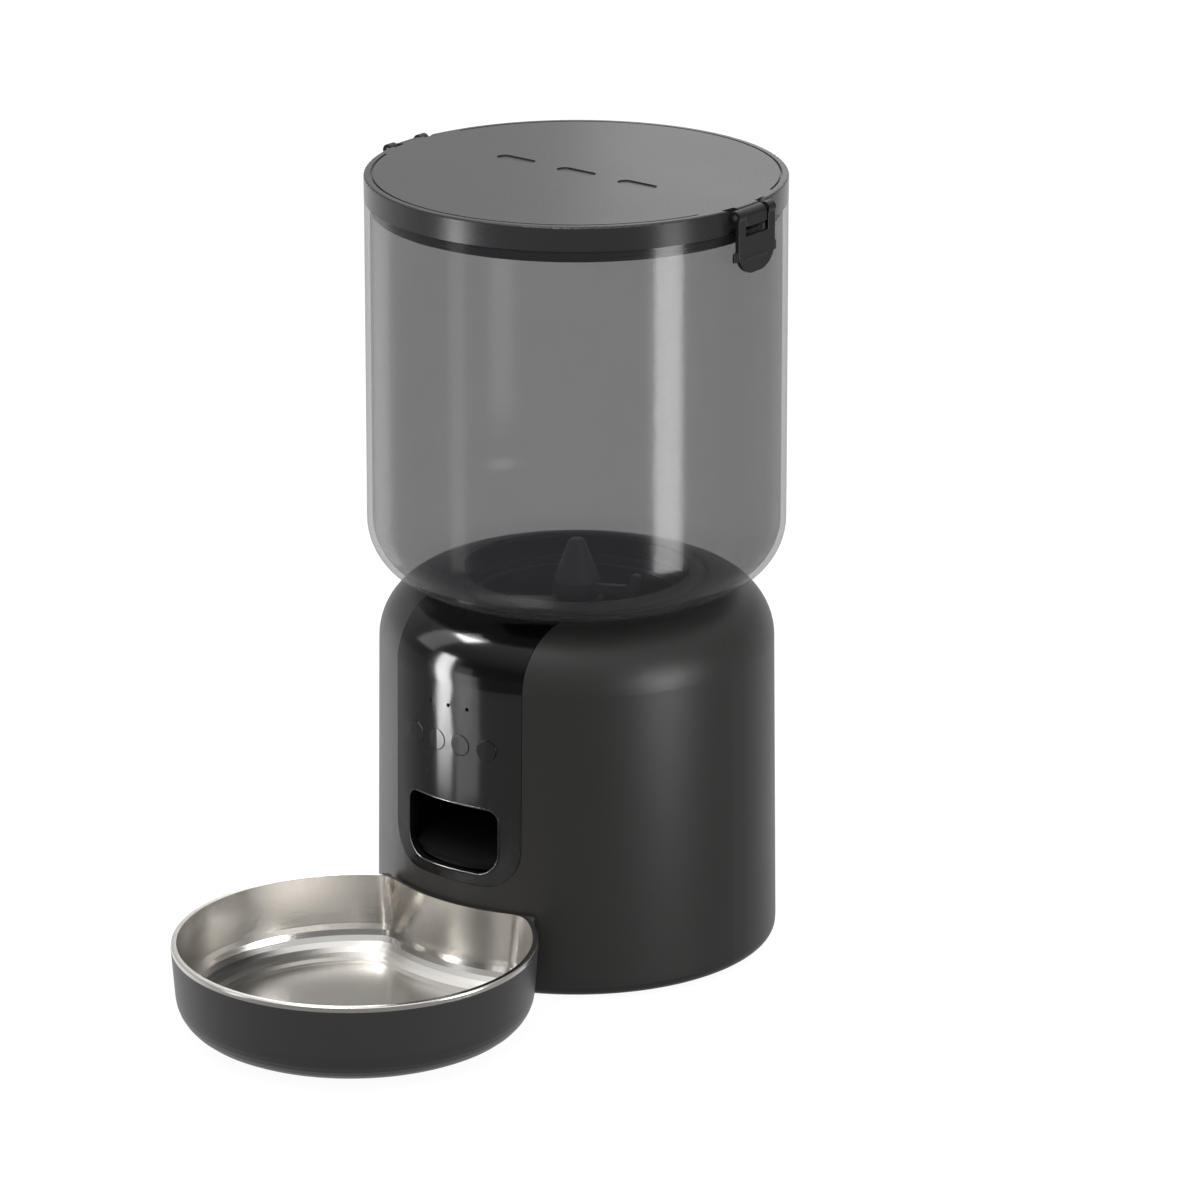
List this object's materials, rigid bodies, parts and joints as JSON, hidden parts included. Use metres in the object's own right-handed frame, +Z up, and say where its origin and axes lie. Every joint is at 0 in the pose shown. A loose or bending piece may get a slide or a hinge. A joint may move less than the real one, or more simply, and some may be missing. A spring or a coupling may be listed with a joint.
{
  "type": "automatic pet feeder",
  "caption": "Upright automatic pet feeder: smoked tank with a latched lid on a round base with keys, camera and food outlet, and a steel bowl in a hook-on tray",
  "frame": {"origin": "on the base's axis at floor level", "axes": "+Z up, -Y front, where the panel, the outlet and the bowl are, +X right as seen from the front"},
  "size_m": [0.1954, 0.3223, 0.3509],
  "materials": {
    "base_matt": "matt charcoal moulded plastic, very fine grain",
    "panel_gloss": "gloss black plastic",
    "key_gloss": "gloss black keys",
    "trim_black": "gloss black trim with a bright edge",
    "duct_black": "satin black plastic",
    "clear_lens": "dark glass lens and light pipe",
    "board_green": "green circuit board",
    "part_metal": "plated steel",
    "screw_steel": "zinc plated screws",
    "motor_steel": "plated motor can",
    "gear_white": "natural acetal gears",
    "tub_grey": "dark grey plastic",
    "rotor_grey": "grey plastic",
    "soft_black": "soft black silicone",
    "foot_rubber": "dark rubber feet",
    "tank_smoke": "smoked clear plastic",
    "lid_grey": "satin grey plastic",
    "liner_dark": "dark grey plastic",
    "seal_grey": "grey silicone seal",
    "latch_black": "satin black plastic",
    "tray_dark": "satin dark grey plastic",
    "bowl_steel": "spun stainless steel, bright rim",
    "dry_white": "light grey plastic"
  },
  "bodies": {
    "base": {"base_shell": "base_matt", "inlet_frame": "duct_black", "front_panel": "panel_gloss", "bottom_cover": "base_matt", "rubber_feet": "foot_rubber", "cover_screws": "screw_steel", "battery_tray": "duct_black", "battery_contacts": "part_metal", "power_jack": "part_metal", "power_board": "board_green", "main_board": "board_green", "speaker": "duct_black", "control_board": "board_green", "button_switches": "duct_black", "camera_module": "clear_lens", "indicator_light": "clear_lens", "microphone": "soft_black", "chute": "duct_black", "chute_lip": "trim_black", "chute_sensors": "duct_black", "rotor_tub": "tub_grey", "outlet_baffle": "tub_grey", "gearbox_case": "tub_grey", "gearbox_cover": "tub_grey", "gearbox_screws": "screw_steel", "idler_pin": "part_metal", "feed_motor": "motor_steel"},
    "rotor": {"drive_shaft": "part_metal", "output_gear": "gear_white", "rotor_hub": "rotor_grey", "rotor_paddles": "soft_black", "agitator": "rotor_grey"},
    "idler": {"idler_gear": "gear_white"},
    "motor_rotor": {"motor_shaft": "part_metal", "motor_pinion": "part_metal"},
    "key_left_outer": {"button_left_outer": "key_gloss"},
    "key_left_inner": {"button_left_inner": "key_gloss"},
    "key_right_inner": {"button_right_inner": "key_gloss"},
    "key_right_outer": {"button_right_outer": "key_gloss"},
    "door": {"battery_door": "base_matt"},
    "hopper": {"hopper_tank": "tank_smoke"},
    "lid": {"lid_cover": "lid_grey", "lid_liner": "liner_dark", "lid_seal": "seal_grey", "latch_pins": "part_metal", "latch_brackets": "latch_black"},
    "drying_box": {"desiccant_box": "dry_white"},
    "right_latch": {"latch_right": "latch_black"},
    "left_latch": {"latch_left": "latch_black"},
    "tray": {"bowl_tray": "tray_dark", "tray_feet": "foot_rubber"},
    "bowl": {"steel_bowl": "bowl_steel"}
  },
  "joints": [
    {"name": "hopper_lift", "type": "slide", "parent": "base", "child": "hopper", "axis": [0, 0, 1], "range_m": [0, 0.06]},
    {"name": "lid_lift", "type": "slide", "parent": "hopper", "child": "lid", "axis": [0, 0, 1], "range_m": [0, 0.06]},
    {"name": "latch_right_swing", "type": "hinge", "parent": "lid", "child": "right_latch", "pos_m": [0.09453, 0.00363, 0.3482], "axis": [0.0384, -0.9993, 0], "range_deg": [0, 100]},
    {"name": "latch_left_swing", "type": "hinge", "parent": "lid", "child": "left_latch", "pos_m": [-0.09453, -0.00363, 0.3482], "axis": [-0.0384, 0.9993, 0], "range_deg": [0, 100]},
    {"name": "drying_box_pull", "type": "slide", "parent": "lid", "child": "drying_box", "axis": [0, 0, -1], "range_m": [0, 0.02]},
    {"name": "rotor_spin", "type": "hinge", "parent": "base", "child": "rotor", "pos_m": [0, 0, 0.118], "axis": [0, 0, 1], "continuous": true},
    {"name": "idler_spin", "type": "hinge", "parent": "base", "child": "idler", "pos_m": [0, 0.02, 0.108], "axis": [0, 0, 1], "continuous": true},
    {"name": "motor_spin", "type": "hinge", "parent": "base", "child": "motor_rotor", "pos_m": [0, 0.035, 0.1], "axis": [0, 0, 1], "continuous": true},
    {"name": "key_left_outer_press", "type": "slide", "parent": "base", "child": "key_left_outer", "axis": [0, 1, 0], "range_m": [0, 0.0008], "stiffness_N_per_m": 300, "springref_m": -0.001},
    {"name": "key_left_inner_press", "type": "slide", "parent": "base", "child": "key_left_inner", "axis": [0, 1, 0], "range_m": [0, 0.0008], "stiffness_N_per_m": 300, "springref_m": -0.001},
    {"name": "key_right_inner_press", "type": "slide", "parent": "base", "child": "key_right_inner", "axis": [0, 1, 0], "range_m": [0, 0.0008], "stiffness_N_per_m": 300, "springref_m": -0.001},
    {"name": "key_right_outer_press", "type": "slide", "parent": "base", "child": "key_right_outer", "axis": [0, 1, 0], "range_m": [0, 0.0008], "stiffness_N_per_m": 300, "springref_m": -0.001},
    {"name": "battery_door_swing", "type": "hinge", "parent": "base", "child": "door", "pos_m": [0, 0.0365, 0.0027], "axis": [1, 0, 0], "range_deg": [0, 100]},
    {"name": "tray_slide", "type": "slide", "parent": "base", "child": "tray", "axis": [0, -1, 0], "range_m": [0, 0.06]},
    {"name": "bowl_lift", "type": "slide", "parent": "tray", "child": "bowl", "axis": [0, 0, 1], "range_m": [0, 0.05]}
  ],
  "couplings": [
    {"joint": "idler_spin", "follows": "rotor_spin", "ratio": -4},
    {"joint": "motor_spin", "follows": "rotor_spin", "ratio": 16}
  ]
}
